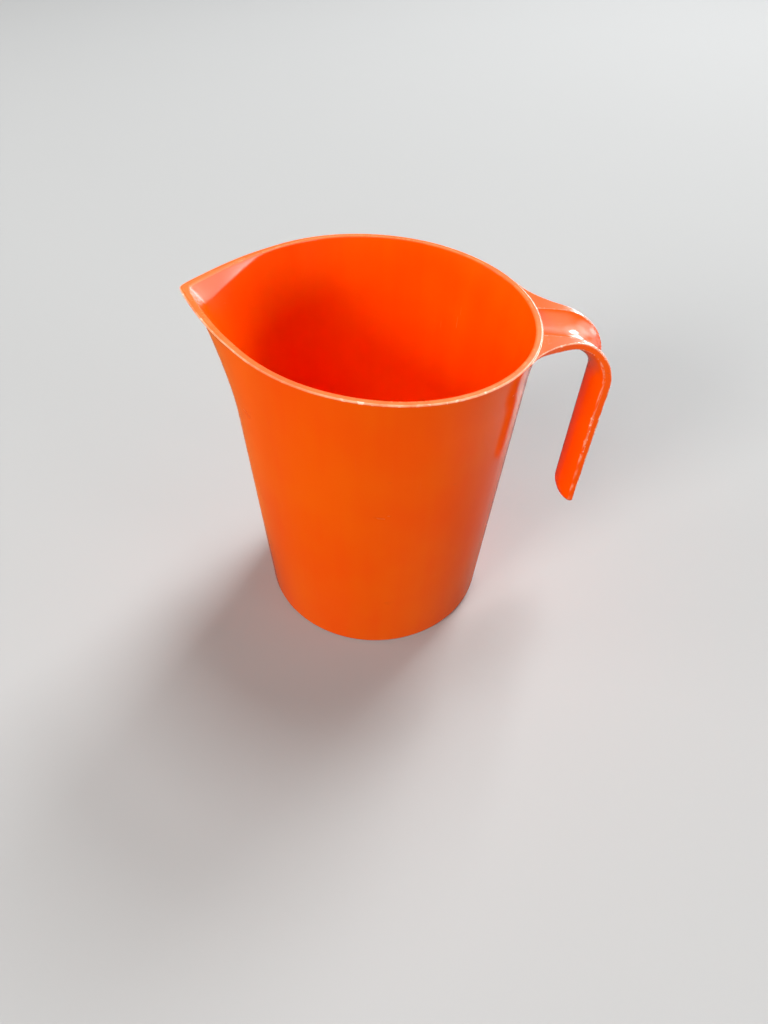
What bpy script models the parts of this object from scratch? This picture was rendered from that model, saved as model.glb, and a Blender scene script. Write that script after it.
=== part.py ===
"""Small one-piece pouring jug, injection moulded in orange polypropylene.

Frame: +Z up, the underside on z = 0, the axis of the round body on x = y = 0.
The handle points along +X and the pouring spout along -X, and the jug is
mirror-symmetric about the plane y = 0.  All lengths are in metres.

The body is a round, slightly tapered beaker.  Its rim lies in one plane that
falls from the spout to the handle.  The spout is a V-shaped ridge that grows
out of the wall and flicks outward at its lip.  The handle is an open hook
moulded on the rim: two flat lands widen the rim into a shallow gutter, which
runs outward, bends down and hangs free beside the body.
"""
import math

import bmesh
import bpy

MM = 0.001

# ---- body ----
BASE_RADIUS = 39.9 * MM        # outside radius at the underside
RIM_RADIUS = 44.45 * MM        # outside radius at the rim
AXIS_HEIGHT = 110.0 * MM       # height of the rim plane above the underside, on the axis
RIM_FALL = 0.057               # fall of the rim plane per unit of x
WALL = 1.9 * MM                # wall thickness
FLOOR = 2.2 * MM               # floor thickness
BASE_ROUND = 1.0 * MM          # outside rounding between wall and underside
FLOOR_ROUND = 4.0 * MM         # inside rounding between wall and floor
ROUND_STEPS = 4                # steps in each of those roundings
AROUND = 84                    # facets around the body
FACET_SHIFT = 0.55             # extra facet width at the spout, as a share of the even width

# Heights of the rings above the roundings, in mm; the last ones pass the rim.
WALL_LEVELS = [60.0, 74.0, 80.0, 84.0, 88.0, 92.0, 96.0, 99.5, 102.5, 105.0, 107.0, 108.2,
               109.5, 111.3, 113.1, 116.0, 120.0]

# ---- spout ----
RIDGE_START = 83.0 * MM        # height where the spout leaves the round wall
RIDGE_TOP = 107.0 * MM         # height where the ridge reaches its stated growth
RIDGE_GROWTH = 6.35 * MM       # growth of the ridge beyond the round wall
RIDGE_CURVE = 1.5              # exponent of that growth
RIDGE_SOFTNESS = 0.12          # rounding of its start, as a share of the ridge's height
LIP_START = 107.8 * MM         # height where the lip starts to flick outward
LIP_TOP = 113.1 * MM           # height of the tip of the lip
LIP_GROWTH = 2.0 * MM          # growth of the lip beyond the ridge
LIP_SOFTNESS = 0.9 * MM        # rounding of the start of the flick
LIP_LEVEL = math.radians(3.0)  # angle off the tip up to which the flick starts lowest
LIP_FADE = math.radians(43.0)  # angle off the tip where the flick runs out into the rim
LIP_CURVE = 1.42               # exponent of the rise of the flick's start between them
SPOUT_WIDTH = math.radians(16.75)  # angle over which the ridge fades by 1/e
SPOUT_REACH = math.radians(115.0)  # angle off the tip where the ridge has gone
TIP_BLUNT = 0.022              # rounding of the ridge's crest at the tip, in radians
BLUNT_PER_MM = 0.005           # growth of that rounding per mm below the tip
BLUNT_DEPTH = 16.0             # depth in mm below the tip where it stops growing

# ---- outward curl of the wall under the rim, by the handle ----
RIM_FLARE = 1.15 * MM          # growth of the curl beyond the round wall
FLARE_START = 96.0 * MM        # height where the curl starts
FLARE_FULL = AXIS_HEIGHT - 2.5 * MM  # height where it reaches its stated growth
FLARE_LIMIT = 1.15             # rise at which it stops, as a share of start to full
FLARE_FAR = math.radians(105.0)    # angle off the handle where the curl has faded
FLARE_NEAR = math.radians(20.0)    # angle off the handle where the curl is full

# ---- handle ----
HANDLE_HALF = 8.2 * MM         # half width over the flanges
HANDLE_REACH = 67.6 * MM       # x of the flanges' outer edges on the leg
HANDLE_END = 43.3 * MM         # height of the free end of the leg
HANDLE_DEPTH = 5.2 * MM        # depth over the back of the gutter
HANDLE_LIFT = 1.2 * MM         # how far the uncut top stands above the rim plane
BEND_START = 52.5 * MM         # x where the top starts to bend down
BEND_DROP = 16.0 * MM          # height of the bend
BEND_STEPS = 12
FLANGE_BAND = 2.2 * MM         # height of the flanges' flat sides
BAND_TAPER = 0.45              # share of that height lost down the leg
LAND_THIN = 38.0 * MM          # x up to which the lands' sides are thinnest
LAND_THICK = 50.0 * MM         # x from which they have the full height
LAND_FILLET = 27.0 * MM        # radius that blends the rim into the flanges
LAND_END = BEND_START + 9.0 * MM   # x where that blend is cut off
END_ROUND = 4.0 * MM           # length over which the free end is rounded
END_THINNING = 1.5 * MM        # depth lost over that length

# ---- gutter ----
GUTTER_DEPTH = 3.3 * MM        # depth of the gutter's floor below its edges
GUTTER_HALF = 7.1 * MM         # half width of the gutter between its flanges
GUTTER_START = 45.5 * MM       # x where the gutter starts, at the outside of the rim
GUTTER_SECOND = 48.8 * MM      # x of its second station
GUTTER_SIDE = 0.25 * MM        # depth of its straight sides
GUTTER_OPEN = 4.8 * MM         # how far the cutter stands out past the flanges' edges
GUTTER_PAST_END = 8.0 * MM     # how far the cutter runs past the free end

# Points across each section, as shares of the half width.
HANDLE_SHARES = [1.0, 0.86, 0.7, 0.52, 0.34, 0.17, 0.0,
                 -0.17, -0.34, -0.52, -0.7, -0.86, -1.0]
GUTTER_SHARES = [1.0, 0.88, 0.68, 0.46, 0.23, 0.0, -0.23, -0.46, -0.68, -0.88, -1.0]
LAND_STATIONS = [33.0, 36.7, 40.0, 41.0, 42.5, 44.0, 46.5, 49.0]  # x in mm

# ---- material ----
ORANGE = (1.0, 0.10, 0.005, 1.0)


# ---- shared helpers ----
def clamp(value, low=0.0, high=1.0):
    return min(max(value, low), high)


def smooth_step(t):
    return t * t * (3.0 - 2.0 * t)


def soft_clip(value, width):
    """value where it is positive and 0 where it is negative, with a rounded corner."""
    return 0.5 * (value + math.sqrt(value * value + width * width))


def angle_between(theta, direction):
    turn = theta - direction
    return abs(math.atan2(math.sin(turn), math.cos(turn)))


def rim_height(x):
    return AXIS_HEIGHT - RIM_FALL * x


def loft(name, rings):
    """A closed solid through rings that have the same number of points."""
    bm = bmesh.new()
    rows = [[bm.verts.new(point) for point in ring] for ring in rings]
    count = len(rows[0])
    for low, high in zip(rows, rows[1:]):
        for i in range(count):
            j = (i + 1) % count
            bm.faces.new((low[i], low[j], high[j], high[i]))
    bm.faces.new(list(reversed(rows[0])))
    bm.faces.new(rows[-1])
    bmesh.ops.recalc_face_normals(bm, faces=bm.faces[:])
    mesh = bpy.data.meshes.new(name)
    bm.to_mesh(mesh)
    bm.free()
    obj = bpy.data.objects.new(name, mesh)
    bpy.context.scene.collection.objects.link(obj)
    return obj


# ---- body and cavity ----
def spout(theta, z):
    """Growth of the spout beyond the round wall.

    A ridge fades to both sides, and a lip flicks outward at the top.  The
    flick starts lower at the tip than at its sides.  The ridge is keen at the
    rim and gets rounder below it.
    """
    turn = angle_between(theta, math.pi)
    blunt = TIP_BLUNT + BLUNT_PER_MM * clamp((LIP_TOP - z) / MM, high=BLUNT_DEPTH)
    off_crest = math.sqrt(turn ** 2 + blunt ** 2) - blunt
    reach_fade = max(1.0 - (off_crest / SPOUT_REACH) ** 2, 0.0) ** 2
    share = math.exp(-off_crest / SPOUT_WIDTH) * reach_fade
    ridge = soft_clip((z - RIDGE_START) / (RIDGE_TOP - RIDGE_START), RIDGE_SOFTNESS)

    aside = clamp((turn - LIP_LEVEL) / (LIP_FADE - LIP_LEVEL))
    start = LIP_START + (LIP_TOP - LIP_START) * aside ** LIP_CURVE
    lip = soft_clip(z - start, LIP_SOFTNESS) / (LIP_TOP - LIP_START)
    return RIDGE_GROWTH * ridge ** RIDGE_CURVE * share + LIP_GROWTH * lip


def flare(theta, z):
    """The wall's outward curl just under the rim, on the handle's side."""
    near = clamp((FLARE_FAR - angle_between(theta, 0.0)) / (FLARE_FAR - FLARE_NEAR))
    share = smooth_step(near) ** 0.8
    rise = clamp((z - FLARE_START) / (FLARE_FULL - FLARE_START), high=FLARE_LIMIT)
    return RIM_FLARE * share * rise ** 1.7


def outer_radius(theta, z):
    wall = BASE_RADIUS + (RIM_RADIUS - BASE_RADIUS) * z / AXIS_HEIGHT
    return wall + spout(theta, z) + flare(theta, z)


def inner_radius(theta, z):
    """The outside less the wall, which is measured square to the surface."""
    turn = math.radians(0.4)
    rise = 0.3 * MM
    here = outer_radius(theta, z)
    across = (outer_radius(theta + turn, z) - outer_radius(theta - turn, z)) / (2 * turn * here)
    up = (outer_radius(theta, z + rise) - outer_radius(theta, z - rise)) / (2 * rise)
    return here - WALL * math.sqrt(1.0 + across ** 2 + up ** 2)


def facet_angles():
    """Directions of the facets' corners.

    They are widest apart at the spout and closest about 75 degrees off the handle.
    """
    angles = []
    for i in range(AROUND):
        even = 2.0 * math.pi * i / AROUND
        angles.append(even - FACET_SHIFT * math.sin(even) * 0.5 * (1.0 - math.cos(even)))
    return angles


def beaker(name, radius, bottom, rounding):
    """A solid beaker whose flat bottom meets the wall in a quarter-round."""
    levels = []  # (height, inset from the wall)
    for k in range(ROUND_STEPS + 1):
        angle = 0.5 * math.pi * k / ROUND_STEPS
        levels.append((bottom + rounding * (1.0 - math.cos(angle)),
                       rounding * (1.0 - math.sin(angle))))
    levels += [(z * MM, 0.0) for z in WALL_LEVELS]

    rings = []
    for z, inset in levels:
        ring = []
        for theta in facet_angles():
            r = radius(theta, z) - inset
            ring.append((r * math.cos(theta), r * math.sin(theta), z))
        rings.append(ring)
    return loft(name, rings)


# ---- handle and gutter ----
# A station is (x, z, direction of the gutter's depth as (x, z)).
LEG_TOP = rim_height(BEND_START) - BEND_DROP
LEG_LEVELS = [LEG_TOP - 12.0 * MM, 0.5 * (LEG_TOP + HANDLE_END), HANDLE_END + END_ROUND,
              HANDLE_END + 0.55 * END_ROUND, HANDLE_END + 0.2 * END_ROUND, HANDLE_END]


def level_station(x, lift=0.0):
    """A station on the rim plane, or raised above it by lift."""
    return x, rim_height(x) + lift, (0.0, -1.0)


def leg_station(z):
    return HANDLE_REACH, z, (-1.0, 0.0)


def bend_stations():
    """Stations around the bend, after its start and down to the top of the leg."""
    reach = HANDLE_REACH - BEND_START
    stations = []
    for k in range(1, BEND_STEPS + 1):
        angle = 0.5 * math.pi * k / BEND_STEPS
        x = BEND_START + reach * math.sin(angle)
        z = rim_height(BEND_START) - BEND_DROP * (1.0 - math.cos(angle))
        z -= RIM_FALL * (x - BEND_START) * math.cos(angle)
        inward_x = -math.sin(angle) * BEND_DROP
        inward_z = -math.cos(angle) * reach
        size = math.hypot(inward_x, inward_z)
        stations.append((x, z, (inward_x / size, inward_z / size)))
    return stations


def section(station, half, edge_depth, back):
    """A ring: a straight edge at edge_depth, then the back as (y, depth) points."""
    x, z, inward = station
    points = [(-half, edge_depth), (half, edge_depth)] + back
    return [(x + inward[0] * depth, y, z + inward[1] * depth) for y, depth in points]


def land_edge(x):
    """Half width of the handle's top at x: the rim, then a fillet off it."""
    if x >= LAND_END:
        return HANDLE_HALF
    rim = RIM_RADIUS + RIM_FLARE
    centre_y = HANDLE_HALF + LAND_FILLET
    centre_x = math.sqrt((rim + LAND_FILLET) ** 2 - centre_y ** 2)
    meet = centre_x * rim / (rim + LAND_FILLET)  # x where the fillet touches the rim
    along = centre_x - max(x, meet)
    return centre_y - math.sqrt(LAND_FILLET ** 2 - along ** 2) - max(meet - x, 0.0)


def flange_band(x):
    """Height of the lands' and flanges' sides at x: thin where they leave the rim."""
    t = clamp((x - LAND_THIN) / (LAND_THICK - LAND_THIN))
    return FLANGE_BAND * (0.2 + 0.8 * smooth_step(t))


def handle_section(station, depth, band):
    """Flat on top, with sides of height band and a rounded back."""
    edge = land_edge(station[0])
    back = []
    for share in HANDLE_SHARES:
        y = share * edge
        bulge = (1.0 - min(abs(y) / HANDLE_HALF, 1.0) ** 2) ** 0.8
        back.append((y, band + (depth - band) * bulge))
    return section(station, edge, 0.0, back)


def handle_solid():
    """The handle without its gutter, standing above the rim plane up to the bend."""
    stations = [level_station(x * MM, HANDLE_LIFT) for x in LAND_STATIONS]
    stations.append(level_station(BEND_START, 0.4 * HANDLE_LIFT))
    stations += bend_stations()
    rings = []
    for station in stations:
        x, z, _ = station
        extra = max(z - rim_height(x), 0.0)
        rings.append(handle_section(station, HANDLE_DEPTH + extra, flange_band(x) + extra))
    for z in LEG_LEVELS:
        down = (LEG_TOP - z) / (LEG_TOP - HANDLE_END)
        near_end = max((HANDLE_END + END_ROUND - z) / END_ROUND, 0.0)
        rings.append(handle_section(leg_station(z),
                                    HANDLE_DEPTH - END_THINNING * near_end ** 2,
                                    FLANGE_BAND * (1.0 - BAND_TAPER * down)))
    return loft("handle", rings)


def gutter_cutter():
    """The space inside the gutter, open past the flanges' edges and the free end."""
    stations = [level_station(x) for x in (GUTTER_START, GUTTER_SECOND, BEND_START)]
    stations += bend_stations()
    stations += [leg_station(z) for z in LEG_LEVELS[:-1] + [HANDLE_END - GUTTER_PAST_END]]
    back = []
    for share in GUTTER_SHARES:
        bulge = (1.0 - abs(share) ** 2.2) ** 0.9
        back.append((share * GUTTER_HALF, GUTTER_SIDE + (GUTTER_DEPTH - GUTTER_SIDE) * bulge))
    return loft("cut_gutter", [section(station, GUTTER_HALF, -GUTTER_OPEN, back)
                               for station in stations])


# ---- rim ----
def rim_cutter():
    """Everything above the rim plane."""
    end, side, top_height = 90.0 * MM, 80.0 * MM, 160.0 * MM
    corners = [(-end, -side), (end, -side), (end, side), (-end, side)]
    bottom = [(x, y, rim_height(x)) for x, y in corners]
    top = [(x, y, top_height) for x, y in corners]
    return loft("cut_rim", [bottom, top])


# ---- assembly ----
def boolean(target, tool, operation):
    tool.hide_render = True
    tool.display_type = "WIRE"
    mod = target.modifiers.new(tool.name, "BOOLEAN")
    mod.operation = operation
    mod.solver = "EXACT"
    mod.object = tool


def orange_plastic():
    plastic = bpy.data.materials.new("orange_polypropylene")
    plastic.use_nodes = True
    shader = plastic.node_tree.nodes["Principled BSDF"]
    shader.inputs["Base Color"].default_value = ORANGE
    shader.inputs["Roughness"].default_value = 0.28
    shader.inputs["Metallic"].default_value = 0.0
    plastic.diffuse_color = ORANGE
    return plastic


def main():
    for obj in list(bpy.data.objects):
        bpy.data.objects.remove(obj, do_unlink=True)

    jug = beaker("jug", outer_radius, 0.0, BASE_ROUND)
    cavity = beaker("cut_cavity", inner_radius, FLOOR, FLOOR_ROUND)

    # The handle joins before the cavity is cut, so that none of it is left inside.
    boolean(jug, handle_solid(), "UNION")
    boolean(jug, cavity, "DIFFERENCE")
    boolean(jug, gutter_cutter(), "DIFFERENCE")
    boolean(jug, rim_cutter(), "DIFFERENCE")

    jug.data.materials.append(orange_plastic())
    jug.data.shade_smooth()
    jug.data.set_sharp_from_angle(angle=math.radians(32.0))


main()
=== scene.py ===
"""Looks for the one-piece pouring jug: a fine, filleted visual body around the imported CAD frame.

The jug stands on z = 0 with its axis on Z, its spout toward -X and its handle toward +X; the camera looks from -Y.
The body is modelled as a signed distance field in millimetres (negative inside) and meshed with surface nets on a
grid that is finer at the rim and the handle.  The mesh, the lights and the camera are in metres.
"""

import math
from itertools import product

import bpy
import numpy as np
from mathutils import Matrix, Vector


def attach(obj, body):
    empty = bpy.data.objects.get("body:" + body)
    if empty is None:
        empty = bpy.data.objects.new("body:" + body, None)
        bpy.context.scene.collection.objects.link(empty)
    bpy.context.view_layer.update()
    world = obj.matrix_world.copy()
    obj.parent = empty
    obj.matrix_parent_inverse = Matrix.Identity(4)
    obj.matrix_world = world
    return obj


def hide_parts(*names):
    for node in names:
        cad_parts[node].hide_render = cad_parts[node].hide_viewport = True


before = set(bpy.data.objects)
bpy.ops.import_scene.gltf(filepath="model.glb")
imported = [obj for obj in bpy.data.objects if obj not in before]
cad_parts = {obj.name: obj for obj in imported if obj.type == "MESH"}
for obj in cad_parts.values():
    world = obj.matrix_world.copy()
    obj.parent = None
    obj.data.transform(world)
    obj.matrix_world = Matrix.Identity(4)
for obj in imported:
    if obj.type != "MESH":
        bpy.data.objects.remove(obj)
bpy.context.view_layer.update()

# ---------------------------------------------------------------- dimensions (mm and radians)
# wall and floor; the rim plane falls toward the handle by RIM_FALL per mm of x
BASE_RADIUS, RIM_RADIUS, AXIS_HEIGHT, RIM_FALL = 39.9, 44.45, 110.0, 0.057
WALL, FLOOR, BASE_ROUND, FLOOR_ROUND = 1.9, 2.2, 1.0, 4.0
TAPER = (RIM_RADIUS - BASE_RADIUS) / AXIS_HEIGHT
RIM_ROUND = 0.42

# spout: a ridge that fades to both sides, and the lip at its top
RIDGE_START, RIDGE_TOP, RIDGE_GROWTH, RIDGE_CURVE = 83.0, 107.0, 6.35, 1.5
RIDGE_BLUNT, BLUNT_PER_MM, BLUNT_RANGE = 0.022, 0.005, 16.0
SPOUT_WIDTH, SPOUT_REACH = math.radians(16.75), math.radians(115.0)
LIP_START, LIP_TOP, LIP_GROWTH, LIP_CURVE = 107.8, 113.1, 2.0, 1.42
LIP_LEVEL, LIP_FADE = math.radians(3.0), math.radians(43.0)
LIP_TIP_ROUND = 0.0005      # radians squared, rounds the lip's lower edge at the tip
RIDGE_SOFT, LIP_SOFT = 0.12, 0.9      # corner widths: a share of the ridge's height, and mm

# outward curl under the rim on the handle's side
RIM_FLARE, FLARE_START, FLARE_FAR, FLARE_NEAR = 1.15, 96.0, math.radians(105.0), math.radians(20.0)
FLARE_FULL, FLARE_LIMIT = AXIS_HEIGHT - 2.5, 1.15

# handle: flat lands, an elliptic bend, then a straight leg down to the end
HANDLE_HALF, HANDLE_REACH, HANDLE_END, HANDLE_ROOT = 8.2, 67.6, 43.3, 32.0
BEND_START, BEND_DROP = 52.5, 16.0
BEND_TOP = AXIS_HEIGHT - RIM_FALL * BEND_START
BEND_REACH = HANDLE_REACH - BEND_START
BEND_FOOT = BEND_TOP - BEND_DROP
LAND_FILLET, END_ROUND, END_THINNING = 27.0, 4.0, 1.4
END_FROM_X, END_BOW = 50.0, 0.012      # the end cut, bowed across by END_BOW * y^2
HANDLE_EDGE, END_EDGE, HANDLE_BLEND = 0.25, 0.5, 1.4

# flanges, which get thinner down the leg and toward the wall, and the back of the gutter
FLANGE_BAND, BAND_THINNING = 2.2, 0.45
ROOT_BAND, ROOT_START, ROOT_END = 0.2, 38.0, 50.0
BACK_POWER, BACK_SLOPE = 0.8, 1.68

# gutter between the flanges
GUTTER_DEPTH, GUTTER_INSIDE, GUTTER_HALF, GUTTER_START = 5.2, 3.3, 7.1, 45.65
GUTTER_SIDE_DEPTH, GUTTER_ROUNDNESS, GUTTER_POWER, GUTTER_SLOPE = 0.35, 2.2, 0.9, 0.8
GUTTER_CORNER, GUTTER_EDGE = 0.5, 0.35

# step from the bead of the rim down to the lands
BEAD_STEP, BEAD_FADE, BEAD_CURVE = 0.3, 8.0, 1.5
BEAD_INSET, BEAD_EDGE, BEAD_FROM_X = 0.05, 0.25, 20.0

# distances over which the wall's slope is measured
RISE_STEP, TURN_STEP = 0.3, 0.006


# ---------------------------------------------------------------- distance field
def round_max(first, second, edge):
    """Intersection of two solids with a circular edge of radius edge."""
    return (np.minimum(np.maximum(first, second), -edge)
            + np.hypot(np.maximum(first + edge, 0.0), np.maximum(second + edge, 0.0)))


def smooth_min(first, second, width):
    """Union of two solids with a fillet."""
    near = np.maximum(width - np.abs(first - second), 0.0) / width
    return np.minimum(first, second) - near * near * near * width / 6.0


def soft_clip(value, width):
    """The value where it is positive and 0 where it is negative, with a rounded corner."""
    return 0.5 * (value + np.sqrt(value * value + width * width))


def linear(value, low, high):
    """0 to 1 as value goes from low to high, which may be the smaller."""
    return np.clip((value - low) / (high - low), 0.0, 1.0)


def smoothstep(share):
    return share * share * (3.0 - 2.0 * share)


def spout(theta, z):
    """Growth of the spout beyond the round wall.

    The lip starts lower at the tip than at its sides, where it runs out into the rim.  The ridge is keen at the
    rim and gets rounder below it.
    """
    turn = np.arctan2(np.sin(theta - math.pi), np.cos(theta - math.pi))
    blunt = RIDGE_BLUNT + BLUNT_PER_MM * np.clip(LIP_TOP - z, 0.0, BLUNT_RANGE)
    away = np.maximum(np.sqrt(turn ** 2 + blunt ** 2) - blunt, 0.0)
    share = np.exp(-away / SPOUT_WIDTH) * np.clip(1.0 - (away / SPOUT_REACH) ** 2, 0.0, 1.0) ** 2
    ridge = soft_clip((z - RIDGE_START) / (RIDGE_TOP - RIDGE_START), RIDGE_SOFT)
    aside = linear(np.sqrt(turn ** 2 + LIP_TIP_ROUND), LIP_LEVEL, LIP_FADE)
    start = LIP_START + (LIP_TOP - LIP_START) * aside ** LIP_CURVE
    lip = soft_clip(z - start, LIP_SOFT) / (LIP_TOP - LIP_START)
    return RIDGE_GROWTH * ridge ** RIDGE_CURVE * share + LIP_GROWTH * lip


def flare(theta, z):
    """The wall's outward curl just under the rim, on the handle's side."""
    share = smoothstep(linear(np.abs(theta), FLARE_FAR, FLARE_NEAR)) ** 0.8
    rise = np.clip((z - FLARE_START) / (FLARE_FULL - FLARE_START), 0.0, FLARE_LIMIT)
    return RIM_FLARE * share * rise ** 1.7


def wall_radius(theta, z):
    """Outside of the jug's wall."""
    return BASE_RADIUS + TAPER * z + spout(theta, z) + flare(theta, z)


def wall_stretch(theta, z, wall):
    """How much a radial distance to the sloping wall exceeds the true one."""
    rise = (wall_radius(theta, z + RISE_STEP) - wall_radius(theta, z - RISE_STEP)) / (2.0 * RISE_STEP)
    turn = wall_radius(theta + TURN_STEP, z) - wall_radius(theta - TURN_STEP, z)
    turn = turn / (2.0 * TURN_STEP) / np.maximum(wall, 1.0)
    return np.sqrt(1.0 + rise * rise + turn * turn)


def land_edge(x):
    """Half width of the handle at x and its slope: straight, then an arc that spreads toward the rim."""
    circle = RIM_RADIUS + RIM_FLARE
    centre_y = HANDLE_HALF + LAND_FILLET
    centre_x = math.sqrt((circle + LAND_FILLET) ** 2 - centre_y ** 2)
    meet = centre_x * circle / (circle + LAND_FILLET)
    run = np.clip(centre_x - np.maximum(x, meet), 0.0, LAND_FILLET * 0.999)
    drop = np.sqrt(LAND_FILLET ** 2 - run ** 2)
    edge = centre_y - drop - np.maximum(meet - x, 0.0)
    slope = np.where(x < meet, 1.0, run / drop)
    return np.where(x >= centre_x, HANDLE_HALF, edge), np.where(x >= centre_x, 0.0, slope)


def depth_below_top(x, z):
    """Depth below the rim plane, the outside of the bend or of the leg, whichever rules at (x, z)."""
    flat = (AXIS_HEIGHT - RIM_FALL * x - z) / math.sqrt(1.0 + RIM_FALL ** 2)
    level = z + RIM_FALL * (x - BEND_START) * np.clip((z - BEND_FOOT) / BEND_DROP, 0.0, 1.0)
    out = np.maximum(x - BEND_START, 0.0) / BEND_REACH
    up = np.maximum(level - BEND_FOOT, 0.0) / BEND_DROP
    reach = np.maximum(np.hypot(out, up), 1e-6)
    steepness = np.maximum(np.hypot(out / BEND_REACH, up / BEND_DROP) / reach, 1e-6)
    bend = (1.0 - reach) / steepness
    curved = np.where(z < BEND_FOOT, HANDLE_REACH - x, bend)
    return np.where(x < BEND_START, flat, curved)


def handle_field(x, y, z, depth):
    """The handle before the gutter is cut: lands, flanges and the rounded back of the gutter."""
    beside = np.abs(y)
    edge, slope = land_edge(x)
    side = (beside - edge) / np.sqrt(1.0 + slope * slope)
    along = linear(z, BEND_FOOT, HANDLE_END)
    near_end = linear(z, HANDLE_END + END_ROUND, HANDLE_END)
    root = smoothstep(linear(x, ROOT_START, ROOT_END))
    band = FLANGE_BAND * (1.0 - BAND_THINNING * along * along) * (ROOT_BAND + (1.0 - ROOT_BAND) * root)
    full = GUTTER_DEPTH - END_THINNING * near_end ** 2
    across = np.minimum(beside / HANDLE_HALF, 1.0)
    back_depth = band + (full - band) * np.maximum(1.0 - across ** 2, 0.0) ** BACK_POWER
    back_slope = BACK_SLOPE * across * (full - band) / HANDLE_HALF
    back = (depth - back_depth) / np.sqrt(1.0 + back_slope ** 2)
    handle = np.maximum(round_max(side, back, HANDLE_EDGE), HANDLE_ROOT - x)
    # nearer the wall the end cut must not bite, so it is far inside there
    end = np.where(x > END_FROM_X, HANDLE_END - z + END_BOW * y * y, -20.0)
    return round_max(handle, end, END_EDGE)


def gutter_field(x, y, radius, depth):
    """The hollow between the flanges."""
    beside = np.abs(y)
    across = np.minimum(beside / GUTTER_HALF, 1.0)
    arch = np.maximum(1.0 - across ** GUTTER_ROUNDNESS, 0.0) ** GUTTER_POWER
    inside = GUTTER_SIDE_DEPTH + (GUTTER_INSIDE - GUTTER_SIDE_DEPTH) * arch
    below = (depth - inside) / np.sqrt(1.0 + (GUTTER_SLOPE * across) ** 2)
    gutter = np.maximum(below, beside - GUTTER_HALF)
    return round_max(gutter, GUTTER_START - np.where(x > 0.0, radius, x), GUTTER_CORNER)


def field(x, y, z):
    """Signed distance to the whole jug."""
    radius = np.hypot(x, y)
    theta = np.arctan2(y, x)
    wall = wall_radius(theta, z)
    stretch = wall_stretch(theta, z, wall)
    outer = (radius - wall) / stretch
    hollow = (radius - (wall - WALL * stretch)) / stretch
    depth = depth_below_top(x, z)

    body = round_max(outer, -z, BASE_ROUND)
    solid = smooth_min(body, handle_field(x, y, z, depth), HANDLE_BLEND)
    cavity = round_max(hollow, FLOOR - z, FLOOR_ROUND)
    solid = np.maximum(solid, -cavity)
    solid = round_max(solid, -gutter_field(x, y, radius, depth), GUTTER_EDGE)

    # the lands sit a little below the bead of the rim, and rise again toward the flanges
    away = np.clip(1.0 - (radius - wall) / BEAD_FADE, 0.0, 1.0)
    ledge = round_max(depth - BEAD_STEP * away ** BEAD_CURVE, wall - BEAD_INSET - radius, BEAD_EDGE)
    solid = np.where(x > BEAD_FROM_X, np.maximum(solid, -ledge), solid)
    return round_max(solid, -depth, RIM_ROUND)


# ---------------------------------------------------------------- grid
AXIS_DISC = 3.2                         # radius of the disc left open round the axis, closed with a fan
SKIN, FILLET_ZONE, AXIS_DEPTH = 3.3, 8.5, 40.0      # depths inward from the outside of the wall
TILT_START, TILT_FULL = 8.0, 100.0      # levels between which the layers tilt into the rim plane

# spans of even steps: (end, step).  Degrees from the handle round to the spout, mirrored for the other side
HALF_TURN = ((22.0, 0.52), (40.0, 1.2), (138.0, 2.4), (165.0, 1.5), (180.0, 0.6))
TURN_OFFSET = 0.25
# mm outward from the outside of the wall, from -AXIS_DEPTH
OUTWARD = ((-FILLET_ZONE, 1.8), (-SKIN, 0.65), (-0.11, 0.22), (0.33, 0.22), (2.1, 0.35), (27.2, 0.44))
# mm upward, from just under the base to just over the rim plane
BELOW_BASE = -0.36
UPWARD = ((2.76, 0.24), (7.2, 0.65), (40.6, 2.8), (43.0, 0.8), (45.7, 0.36), (50.0, 1.0), (86.0, 2.0),
          (90.0, 0.8), (107.0, 0.52), (108.3, 0.32), (110.28, 0.18))


def steps(start, spans, coarseness):
    """Grid values from start through the spans."""
    out = [start]
    for end, step in spans:
        low = out[-1]
        count = max(int(round((end - low) / (step * coarseness))), 1)
        out.extend(low + (end - low) * (i + 1) / count for i in range(count))
    return np.array(out)


def place_grid(rho, theta, zeta):
    """Corner positions of a grid that follows the wall: rho counts from the outside of the wall, zeta from the
    underside to the rim plane."""
    rho, theta, zeta = np.broadcast_arrays(rho, theta, zeta)
    cosine, sine = np.cos(theta), np.sin(theta)
    tilt = smoothstep(linear(zeta, TILT_START, TILT_FULL))
    near_wall = np.maximum(rho, -FILLET_ZONE)
    deep = linear(-rho, FILLET_ZONE, AXIS_DEPTH)
    radius = RIM_RADIUS + near_wall
    # the height depends on the radius and the radius on the height, so they are settled in rounds
    for _ in range(4):
        z = zeta - RIM_FALL * tilt * radius * cosine
        wall = wall_radius(theta, z)
        radius = wall + near_wall
        radius = radius + (AXIS_DISC - (wall - FILLET_ZONE)) * deep
    z = zeta - RIM_FALL * tilt * radius * cosine
    return radius * cosine, radius * sine, z


def sample_grid(rho, theta, zeta):
    """Places and field values of the grid corners, indexed by level, column and ring."""
    places = np.empty((len(zeta), len(theta), len(rho), 3))
    values = np.empty(places.shape[:3])
    for k, level in enumerate(zeta):
        x, y, z = place_grid(rho[None, :], theta[:, None], level)
        places[k] = np.stack([x, y, z], axis=-1)
        values[k] = field(x, y, z)
    return places, values


# ---------------------------------------------------------------- surface nets
CORNERS = tuple(product((0, 1), repeat=3))

# per grid direction: first edge (level, column, ring), and the offsets of the four cells round an edge
UP_EDGES = (0, 0, 1), ((0, -1, -1), (0, -1, 0), (0, 0, 0), (0, 0, -1))
ROUND_EDGES = (1, 0, 1), ((-1, 0, -1), (0, 0, -1), (0, 0, 0), (-1, 0, 0))
OUT_EDGES = (1, 0, 0), ((-1, -1, 0), (-1, 0, 0), (0, 0, 0), (0, -1, 0))


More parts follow.
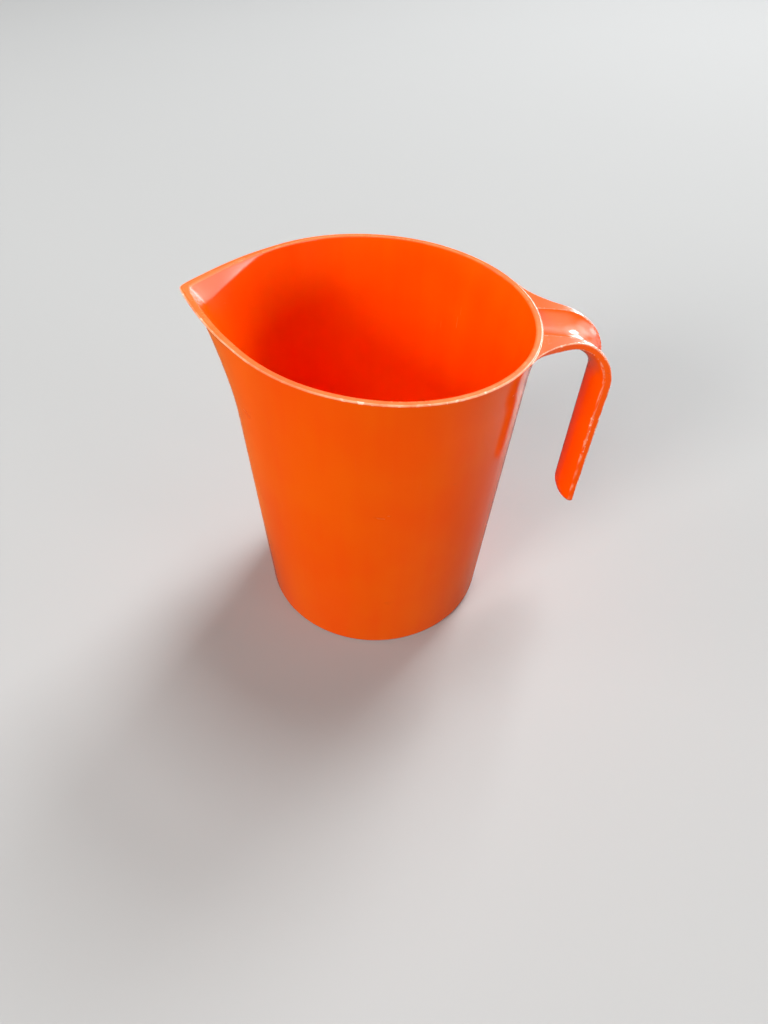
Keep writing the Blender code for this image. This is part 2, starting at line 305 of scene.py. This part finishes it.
def cell_vertices(places, values, cells):
    """One vertex per cell: the mean of the points where the surface crosses the cell's edges."""
    columns = values.shape[1]
    total = np.zeros((len(cells), 3))
    hits = np.zeros(len(cells))
    level, column, ring = cells.T
    for near in CORNERS:
        for axis in range(3):
            if near[axis]:
                continue
            far = list(near)
            far[axis] = 1
            start = (level + near[0], (column + near[1]) % columns, ring + near[2])
            end = (level + far[0], (column + far[1]) % columns, ring + far[2])
            low, high = values[start], values[end]
            cross = (low < 0.0) != (high < 0.0)
            share = np.where(cross, low / np.where(cross, low - high, 1.0), 0.0)
            point = places[start] + (places[end] - places[start]) * share[:, None]
            total += np.where(cross[:, None], point, 0.0)
            hits += cross
    return total / hits[:, None]


def quads_round_edges(low, high, edges, index):
    """One quad round each crossed edge, between the four cells that share it."""
    first, cells = edges
    crossed = np.argwhere(low != high)
    level, column, ring = (crossed + first).T
    columns = index.shape[1]
    quads = np.stack([index[level + up, (column + turn) % columns, ring + out]
                      for up, turn, out in cells], 1)
    flip = high[tuple(crossed.T)]
    quads[flip] = quads[flip][:, ::-1]
    return quads


def surface_nets(rho, theta, zeta):
    """Vertices and quads on the zero of the field, on a grid that closes on itself in theta, and the open rings
    at the axis, under and on the floor of the jug."""
    places, values = sample_grid(rho, theta, zeta)
    inside = values < 0.0
    levels, columns, rings = inside.shape
    closed = np.concatenate([inside, inside[:, :1]], axis=1)

    count = np.zeros((levels - 1, columns, rings - 1), dtype=np.uint8)
    for up, turn, out in CORNERS:
        count += closed[up:levels - 1 + up, turn:columns + turn, out:rings - 1 + out]
    active = (count > 0) & (count < 8)
    cells = np.argwhere(active)
    index = np.full(active.shape, -1, dtype=np.int64)
    index[active] = np.arange(len(cells))

    turned = np.roll(inside, -1, axis=1)
    quads = np.concatenate([
        quads_round_edges(inside[:-1, :, 1:-1], inside[1:, :, 1:-1], UP_EDGES, index),
        quads_round_edges(inside[1:-1, :, 1:-1], turned[1:-1, :, 1:-1], ROUND_EDGES, index),
        quads_round_edges(inside[1:-1, :, :-1], inside[1:-1, :, 1:], OUT_EDGES, index)])

    innermost = [index[level, :, 0] for level in range(levels - 1)]
    loops = [loop for loop in innermost if (loop >= 0).all()]
    return cell_vertices(places, values, cells), quads, loops


# ---------------------------------------------------------------- jug mesh
MARK_STEP = 0.22            # mm, distance over which the surface's bend is measured
FULL_EDGE_BEND = 2.2        # bend at which an edge counts as fully sharp
CAVITY_EDGE_SHARE = 0.15    # edge mark kept inside the wall
FLANGE_EDGE_MARK = 0.62     # least edge mark on the outer edges of the flanges


def gradient(points, step):
    x, y, z = points.T
    return np.stack([field(x + step, y, z) - field(x - step, y, z),
                     field(x, y + step, z) - field(x, y - step, z),
                     field(x, y, z + step) - field(x, y, z - step)], 1) / (2.0 * step)


def shortened(moves, limit):
    """The moves, none longer than limit."""
    size = np.linalg.norm(moves, axis=1, keepdims=True)
    return moves * np.minimum(1.0, limit / np.maximum(size, 1e-9))


def project(verts, step_limit=0.2, limit=0.35, rounds=4):
    """Vertices pulled onto the zero of the field, at most limit mm away."""
    points = verts.copy()
    for _ in range(rounds):
        slope = gradient(points, step=0.05)
        squared = np.maximum((slope * slope).sum(1), 0.2)
        points += shortened(-(field(*points.T) / squared)[:, None] * slope, step_limit)
    return verts + shortened(points - verts, limit)


def surface_marks(points):
    """Three numbers per vertex: how sharply convex the surface is, whether it faces the cavity, and whether it is
    part of the top that the shader paints paler, partly as rubbing and partly as a painted sheen: the bead of the
    rim and the top inside it."""
    x, y, z = points.T
    bend = -6.0 * field(x, y, z)
    for dx, dy, dz in MARK_STEP * np.eye(3):
        bend = bend + field(x + dx, y + dy, z + dz) + field(x - dx, y - dy, z - dz)
    edge = np.clip(bend / (MARK_STEP * MARK_STEP) / FULL_EDGE_BEND, 0.0, 1.0)
    beyond = np.hypot(x, y) - wall_radius(np.arctan2(y, x), z)
    depth = depth_below_top(x, z)
    hollow = linear(beyond, -0.9, -1.3) * linear(z, 1.0, 1.4)
    # the top, which the shader paints paler, partly as wear and partly as a painted sheen
    top = linear(depth, 0.5, 0.2) * linear(beyond, 0.5, 0.0)
    outside = linear(beyond, -0.5 * WALL, 0.3 - 0.5 * WALL)
    edge = edge * (CAVITY_EDGE_SHARE + (1.0 - CAVITY_EDGE_SHARE) * outside)
    flange = linear(depth, 0.85, 0.4) * linear(x, 44.0, 46.0)
    flange = flange * linear(np.abs(y) - land_edge(x)[0], -0.45, -0.1)
    edge = np.maximum(edge, FLANGE_EDGE_MARK * flange)
    return {"edge": edge, "hollow": hollow, "top": top}


def jug_surface():
    """Vertices (mm), their normals and the faces of the jug."""
    coarseness = 1.0
    half = steps(0.0, HALF_TURN, coarseness)
    theta = np.concatenate([-half[1:-1][::-1], half])
    theta = (theta + TURN_OFFSET) * (math.pi / 180.0)
    rho = steps(-AXIS_DEPTH, OUTWARD, coarseness)
    zeta = steps(BELOW_BASE, UPWARD, coarseness)
    verts, quads, loops = surface_nets(rho, theta, zeta)
    verts = project(verts)
    normals = gradient(verts, step=0.04)
    normals /= np.maximum(np.linalg.norm(normals, axis=1, keepdims=True), 1e-9)

    faces = quads.tolist()
    for loop in loops:      # close the rings at the axis with fans
        centre = len(verts)
        up = normals[loop, 2].mean() > 0.0
        verts = np.vstack([verts, [0.0, 0.0, verts[loop, 2].mean()]])
        normals = np.vstack([normals, [0.0, 0.0, 1.0 if up else -1.0]])
        for here, after in zip(loop.tolist(), np.roll(loop, -1).tolist()):
            faces.append([here, after, centre] if up else [after, here, centre])
    return verts, normals, faces


def link_object(name, data):
    obj = bpy.data.objects.new(name, data)
    bpy.context.scene.collection.objects.link(obj)
    return obj


def build_jug():
    verts, normals, faces = jug_surface()
    mesh = bpy.data.meshes.new("jug_body")
    mesh.from_pydata((verts * 0.001).tolist(), [], faces)
    mesh.update(calc_edges=True)
    mesh.validate()
    mesh.polygons.foreach_set("use_smooth", np.ones(len(mesh.polygons), dtype=bool))
    mesh.normals_split_custom_set_from_vertices([tuple(normal) for normal in normals.tolist()])
    for name, values in surface_marks(verts).items():
        layer = mesh.attributes.new(name, "FLOAT", "POINT")
        layer.data.foreach_set("value", values.astype(np.float32))
    return link_object("jug_body", mesh)


# ---------------------------------------------------------------- shader building
class Graph:
    """Adds nodes to a node tree; each helper returns the new node's output socket."""

    def __init__(self, owner):
        owner.use_nodes = True
        self.tree = owner.node_tree
        self.nodes = self.tree.nodes

    def feed(self, socket, value):
        """Link the value if it is a socket, or else set it."""
        if isinstance(value, bpy.types.NodeSocket):
            self.tree.links.new(value, socket)
        else:
            socket.default_value = value

    def attribute(self, name):
        node = self.nodes.new("ShaderNodeAttribute")
        node.attribute_name = name
        return node.outputs["Fac"]

    def coordinates(self, kind):
        return self.nodes.new("ShaderNodeTexCoord").outputs[kind]

    def math(self, operation, *values, clamp=False):
        node = self.nodes.new("ShaderNodeMath")
        node.operation = operation
        node.use_clamp = clamp
        for i, value in enumerate(values):
            self.feed(node.inputs[i], value)
        return node.outputs[0]

    def multiply(self, first, second):
        return self.math("MULTIPLY", first, second)

    def at_least(self, mask, least):
        """The mask squeezed into the range from least to 1."""
        return self.math("MULTIPLY_ADD", mask, 1.0 - least, least)

    def weighted(self, *pairs, base=None):
        """Sum of (source, weight) pairs, on top of base if there is one."""
        total = base
        for source, weight in pairs:
            part = self.multiply(source, weight)
            total = part if total is None else self.math("ADD", total, part)
        return total

    def ramp(self, value, low, high, full=1.0):
        """Smooth 0 to full as value goes from low to high."""
        node = self.nodes.new("ShaderNodeMapRange")
        node.interpolation_type = "SMOOTHSTEP"
        node.inputs["From Min"].default_value = low
        node.inputs["From Max"].default_value = high
        node.inputs["To Max"].default_value = full
        self.feed(node.inputs["Value"], value)
        return node.outputs["Result"]

    def noise(self, vector, detail, roughness, scale=1.0):
        node = self.nodes.new("ShaderNodeTexNoise")
        node.inputs["Scale"].default_value = scale
        node.inputs["Detail"].default_value = detail
        node.inputs["Roughness"].default_value = roughness
        self.feed(node.inputs["Vector"], vector)
        return node.outputs["Fac"]

    def stretched(self, vector, scale, turn=(0.0, 0.0, 0.0), shift=(0.0, 0.0, 0.0)):
        node = self.nodes.new("ShaderNodeMapping")
        node.inputs["Location"].default_value = shift
        node.inputs["Rotation"].default_value = turn
        node.inputs["Scale"].default_value = scale
        self.feed(node.inputs["Vector"], vector)
        return node.outputs["Vector"]

    def mixed(self, factor, base, over):
        node = self.nodes.new("ShaderNodeMix")
        node.data_type = "RGBA"
        self.feed(node.inputs["Factor"], factor)
        self.feed(node.inputs[6], base)      # colour A
        self.feed(node.inputs[7], over)      # colour B
        return node.outputs[2]


# ---------------------------------------------------------------- plastic
# (turn, shift) of the three sets of hairline scratches
SCRATCH_SETS = (((0.35, 0.2, 0.5), (0.0, 0.0, 0.0)),
                ((-0.6, 0.9, 0.1), (3.0, 1.0, 2.0)),
                ((1.2, -0.3, -0.7), (7.0, 4.0, 1.0)))


def scratches(graph, where):
    """Hairline scratches in three directions, broken up so that they come in patches."""
    scratch = None
    for turn, shift in SCRATCH_SETS:
        lines = graph.noise(graph.stretched(where, (1500.0, 1500.0, 42.0), turn, shift),
                            detail=1.0, roughness=0.4)
        patch = graph.noise(graph.stretched(where, (34.0, 34.0, 34.0), turn, shift),
                            detail=2.0, roughness=0.6)
        line = graph.multiply(graph.ramp(lines, low=0.72, high=0.78),
                              graph.ramp(patch, low=0.58, high=0.70))
        scratch = line if scratch is None else graph.math("MAXIMUM", scratch, line)
    return scratch


def plastic():
    """Glossy orange polypropylene: slight mottling, polish marks, hairline scratches, and pale worn edges."""
    mat = bpy.data.materials.new("orange_polypropylene")
    graph = Graph(mat)
    bsdf = graph.nodes["Principled BSDF"]
    where = graph.coordinates("Object")
    edge, hollow, top = [graph.attribute(name) for name in ("edge", "hollow", "top")]

    # pigment: broad, very faint mottling and thin flow streaks that run up the wall
    mottle = graph.noise(where, scale=26.0, detail=3.0, roughness=0.55)
    flow = graph.noise(graph.stretched(where, (150.0, 150.0, 9.0)), detail=2.0, roughness=0.6)
    pigment = graph.weighted((mottle, 0.7), (flow, 0.3))
    colour = graph.mixed(graph.ramp(pigment, low=0.3, high=0.7),
                         base=(1.0, 0.088, 0.0, 1.0), over=(1.0, 0.118, 0.0, 1.0))
    scratch = scratches(graph, where)

    # wear and painted sheen: the top is paler, partly rubbed and partly a painted sheen, and duller; its edges
    # paler still, unevenly, with a few whitish nicks
    uneven = graph.noise(where, scale=210.0, detail=4.0, roughness=0.7)
    coarse = graph.noise(where, scale=38.0, detail=2.0, roughness=0.5)
    patchy = graph.ramp(graph.weighted((uneven, 0.6), (coarse, 0.4)), low=0.38, high=0.62)
    rubbed = graph.multiply(graph.ramp(edge, low=0.35, high=0.95), graph.at_least(patchy, least=0.3))
    top_wear_and_sheen = graph.multiply(top, graph.at_least(patchy, least=0.55))
    spots = graph.noise(where, scale=620.0, detail=2.0, roughness=0.5)
    nicks = graph.multiply(graph.ramp(edge, low=0.2, high=0.6),
                           graph.multiply(graph.ramp(spots, low=0.58, high=0.66),
                                          graph.ramp(coarse, low=0.47, high=0.57)))

    def tinted(base, mask, strength, tint):
        return graph.mixed(graph.multiply(mask, strength), base, tint)

    # painted sheen: the top's paler tint is partly rubbing and partly a sheen painted into the colour
    colour = tinted(colour, top_wear_and_sheen, strength=0.42, tint=(1.0, 0.28, 0.07, 1.0))
    colour = tinted(colour, rubbed, strength=0.70, tint=(1.0, 0.52, 0.32, 1.0))
    colour = tinted(colour, nicks, strength=0.85, tint=(1.0, 0.74, 0.56, 1.0))
    colour = tinted(colour, scratch, strength=0.03, tint=(1.0, 0.4, 0.2, 1.0))

    # a few dull scuffs, none in the cavity
    scuff_at = graph.noise(graph.stretched(where, (60.0, 60.0, 150.0), (0.0, 0.4, 0.0), (1.7, 0.3, 0.9)),
                           detail=3.0, roughness=0.65)
    scuff = graph.multiply(graph.ramp(scuff_at, low=0.66, high=0.76), graph.math("SUBTRACT", 1.0, hollow))
    colour = tinted(colour, scuff, strength=0.35, tint=(0.62, 0.07, 0.01, 1.0))
    graph.feed(bsdf.inputs["Base Color"], colour)

    # gloss: handled and wiped, so the roughness wanders; each mark adds its weight
    smear = graph.noise(graph.stretched(where, (42.0, 42.0, 18.0), (0.2, 0.1, 0.3)),
                        detail=4.0, roughness=0.6)
    rough = graph.weighted((graph.ramp(smear, low=0.35, high=0.7), 0.09), (scratch, 0.10),
                           (top_wear_and_sheen, 0.10), (rubbed, 0.22), (scuff, 0.25), base=0.105)
    cavity_rough = graph.multiply(hollow, 0.06)
    graph.feed(bsdf.inputs["Roughness"], graph.math("ADD", rough, cavity_rough, clamp=True))
    bsdf.inputs["IOR"].default_value = 1.49

    # relief, heights in metres: mould orange-peel and fine grain, less the scratches, nicks and scuffs
    peel = graph.noise(where, scale=330.0, detail=2.0, roughness=0.5)
    grain = graph.noise(where, scale=2400.0, detail=2.0, roughness=0.6)
    relief = graph.weighted((peel, 12e-6), (grain, 1.6e-6))
    for mark, depth in ((scratch, 1.5e-6), (nicks, 30e-6), (scuff, 8e-6)):
        relief = graph.math("SUBTRACT", relief, graph.multiply(mark, depth))
    bump = graph.nodes.new("ShaderNodeBump")
    bump.inputs["Strength"].default_value = 1.0
    bump.inputs["Distance"].default_value = 1.0
    graph.feed(bump.inputs["Height"], relief)
    graph.feed(bsdf.inputs["Normal"], bump.outputs["Normal"])
    return mat


jug = build_jug()
jug.data.materials.append(plastic())
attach(jug, "root")
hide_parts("jug")


# ---------------------------------------------------------------- floor (metres from here on)
FLOOR_HALF = 4


def pale_floor():
    """Pale to the camera; to every other ray a darker, slightly glossy floor, so it doesn't wash the jug out."""
    mat = bpy.data.materials.new("pale_floor")
    graph = Graph(mat)
    pale = graph.nodes["Principled BSDF"]
    pale.inputs["Base Color"].default_value = (0.47, 0.465, 0.455, 1.0)
    pale.inputs["Roughness"].default_value = 0.6
    pale.inputs["Specular IOR Level"].default_value = 0.0
    dark = graph.nodes.new("ShaderNodeBsdfPrincipled")
    place = graph.nodes.new("ShaderNodeSeparateXYZ")
    graph.feed(place.inputs[0], graph.coordinates("Object"))
    rays = graph.nodes.new("ShaderNodeLightPath")
    # painted light: lighter on the handle's side, a pool of glare painted on the floor for the jug to reflect
    painted_glare_floor = graph.mixed(graph.ramp(place.outputs["X"], low=0.07, high=0.17),
                        base=(0.045, 0.032, 0.022, 1.0), over=(0.22, 0.17, 0.15, 1.0))
    # painted reflection: gloss alone sees an orange patch painted on the floor on the spout's side, toward the
    # back, which the jug's edge mirrors
    painted_reflection = graph.multiply(graph.ramp(graph.multiply(place.outputs["X"], -1.0), low=0.03, high=0.06),
                          graph.ramp(place.outputs["Y"], low=-0.03, high=0.03))
    painted_reflection = graph.multiply(painted_reflection, rays.outputs["Is Glossy Ray"])
    graph.feed(dark.inputs["Base Color"], graph.mixed(painted_reflection, base=painted_glare_floor, over=(0.42, 0.145, 0.03, 1.0)))
    dark.inputs["Roughness"].default_value = 0.3
    mix = graph.nodes.new("ShaderNodeMixShader")
    graph.feed(mix.inputs[0], rays.outputs["Is Camera Ray"])
    graph.feed(mix.inputs[1], dark.outputs[0])
    graph.feed(mix.inputs[2], pale.outputs[0])
    graph.feed(graph.nodes["Material Output"].inputs["Surface"], mix.outputs[0])
    return mat


def build_floor():
    mesh = bpy.data.meshes.new("floor")
    corners = [(x * FLOOR_HALF, y * FLOOR_HALF, 0) for x, y in ((-1, -1), (1, -1), (1, 1), (-1, 1))]
    mesh.from_pydata(corners, [], [(0, 1, 2, 3)])
    floor = link_object("floor", mesh)
    mesh.materials.append(pale_floor())


build_floor()


# ---------------------------------------------------------------- world and lights
# Directions are elevation and azimuth in degrees; azimuth 0 is the handle's side and 90 is behind the jug.
# world strength for diffuse rays, for gloss away from the panels, and what camera rays see on top
ROOM, GLOSS_ROOM, CAMERA_EXTRA = 0.03, 0.30, 0.55

# soft panels that only gloss sees: elevation, azimuth, core and edge half angles, strength
PANELS = ((28.0, 43.0, 6.0, 31.0, 3.4),
          (19.0, 9.0, 8.0, 28.0, 4.2),
          (76.0, 60.0, 12.0, 52.0, 2.2))

COOL, WARM, WHITE = (0.94, 0.97, 1.0), (1.0, 0.985, 0.96), (1.0, 1.0, 1.0)
LIGHT_AIM = (0.0, 0.0, 0.06)
# name, elevation, azimuth, radiance, size, distance, colour, seen by diffuse rays, seen by gloss
LIGHTS = (
    ("key", 25.0, 225.0, 19.6, (0.8, 0.8), 2.5, WARM, True, False),
    ("key_high", 45.0, 240.0, 5.6, (0.8, 0.8), 2.5, WARM, True, False),
    ("window_low", 45.0, 60.0, 21.5, (0.8, 0.8), 2.5, COOL, True, False),
    ("window_high", 68.0, 60.0, 17.0, (0.8, 0.8), 2.5, COOL, True, False),
    ("window", 26.0, 50.0, 30.0, (0.55, 0.55), 2.5, COOL, False, True),
    ("right_front", 8.0, 330.0, 11.0, (0.8, 0.6), 2.5, WHITE, True, True),
    ("left", 8.0, 180.0, 11.0, (0.8, 0.6), 2.5, WHITE, True, True),
    ("right", 8.0, 0.0, 5.0, (0.8, 0.6), 2.5, WHITE, True, True),
    ("front", 8.0, 285.0, 2.6, (1.6, 0.6), 2.5, WHITE, True, True),
    ("back_right", 8.0, 60.0, 9.0, (1.6, 1.2), 5.0, COOL, True, True),
)


def toward(elevation, azimuth):
    rise, turn = math.radians(elevation), math.radians(azimuth)
    return Vector((math.cos(turn) * math.cos(rise), math.sin(turn) * math.cos(rise), math.sin(rise)))


def studio():
    """A nearly dark room; what the gloss mirrors is a little brighter, with a few broad soft panels in it."""
    world = bpy.data.worlds.new("studio")
    graph = Graph(world)
    way = graph.coordinates("Generated")
    total = GLOSS_ROOM
    for elevation, azimuth, core, edge, strength in PANELS:
        dot = graph.nodes.new("ShaderNodeVectorMath")
        dot.operation = "DOT_PRODUCT"
        graph.feed(dot.inputs[0], way)
        dot.inputs[1].default_value = toward(elevation, azimuth)
        panel = graph.ramp(dot.outputs["Value"], low=math.cos(math.radians(edge)),
                           high=math.cos(math.radians(core)), full=strength)
        total = graph.math("ADD", panel, total)
    rays = graph.nodes.new("ShaderNodeLightPath")
    strength = graph.math("MULTIPLY_ADD", rays.outputs["Is Glossy Ray"],
                          graph.math("SUBTRACT", total, ROOM), ROOM)
    strength = graph.math("MULTIPLY_ADD", rays.outputs["Is Camera Ray"], CAMERA_EXTRA, strength)
    background = graph.nodes["Background"]
    background.inputs["Color"].default_value = (0.97, 0.98, 1.0, 1.0)
    graph.feed(background.inputs["Strength"], strength)
    bpy.context.scene.world = world


def soft_light(name, elevation, azimuth, radiance, size, distance, colour, diffuse, glossy):
    """A soft rectangular light that faces the jug."""
    way = toward(elevation, azimuth)
    light = bpy.data.lights.new(name, "AREA")
    light.shape = "RECTANGLE"
    light.size, light.size_y = size
    light.energy = radiance * math.pi * size[0] * size[1]
    light.color = colour
    obj = link_object(name, light)
    obj.location = Vector(LIGHT_AIM) + way * distance
    obj.rotation_mode = "QUATERNION"
    obj.rotation_quaternion = (-way).to_track_quat("-Z", "Y")
    obj.visible_diffuse, obj.visible_glossy = diffuse, glossy


studio()
for light_row in LIGHTS:
    soft_light(*light_row)

# ---------------------------------------------------------------- camera
# radians: pitch below the horizon, roll about the view, and a turn of the whole camera about Z
PITCH, ROLL, TURN = 0.8210, -0.0371, 0.0084
CAMERA_PLACE = (0.003163581, -0.165295998, 0.203187978)      # metres, before the turn
LENS, SENSOR = 22.8515625, 36.0                              # mm


def camera():
    turn = Matrix.Rotation(TURN, 3, "Z")
    forward = Vector((0, math.cos(PITCH), -math.sin(PITCH)))
    level_right = Vector((1, 0, 0))
    level_down = Vector((0, -math.sin(PITCH), -math.cos(PITCH)))
    right = turn @ (level_right * math.cos(ROLL) + level_down * math.sin(ROLL))
    down = turn @ (level_down * math.cos(ROLL) - level_right * math.sin(ROLL))
    forward = turn @ forward
    basis = Matrix((right, -down, -forward)).transposed().to_4x4()
    cam = bpy.data.cameras.new("camera")
    cam.sensor_fit = "AUTO"
    cam.sensor_width = SENSOR
    cam.lens = LENS
    cam.clip_start, cam.clip_end = 0.01, 50.0
    obj = link_object("camera", cam)
    obj.matrix_world = Matrix.Translation(turn @ Vector(CAMERA_PLACE)) @ basis
    bpy.context.scene.camera = obj


camera()
bpy.context.scene.view_settings.view_transform = "Standard"

bpy.context.view_layer.update()
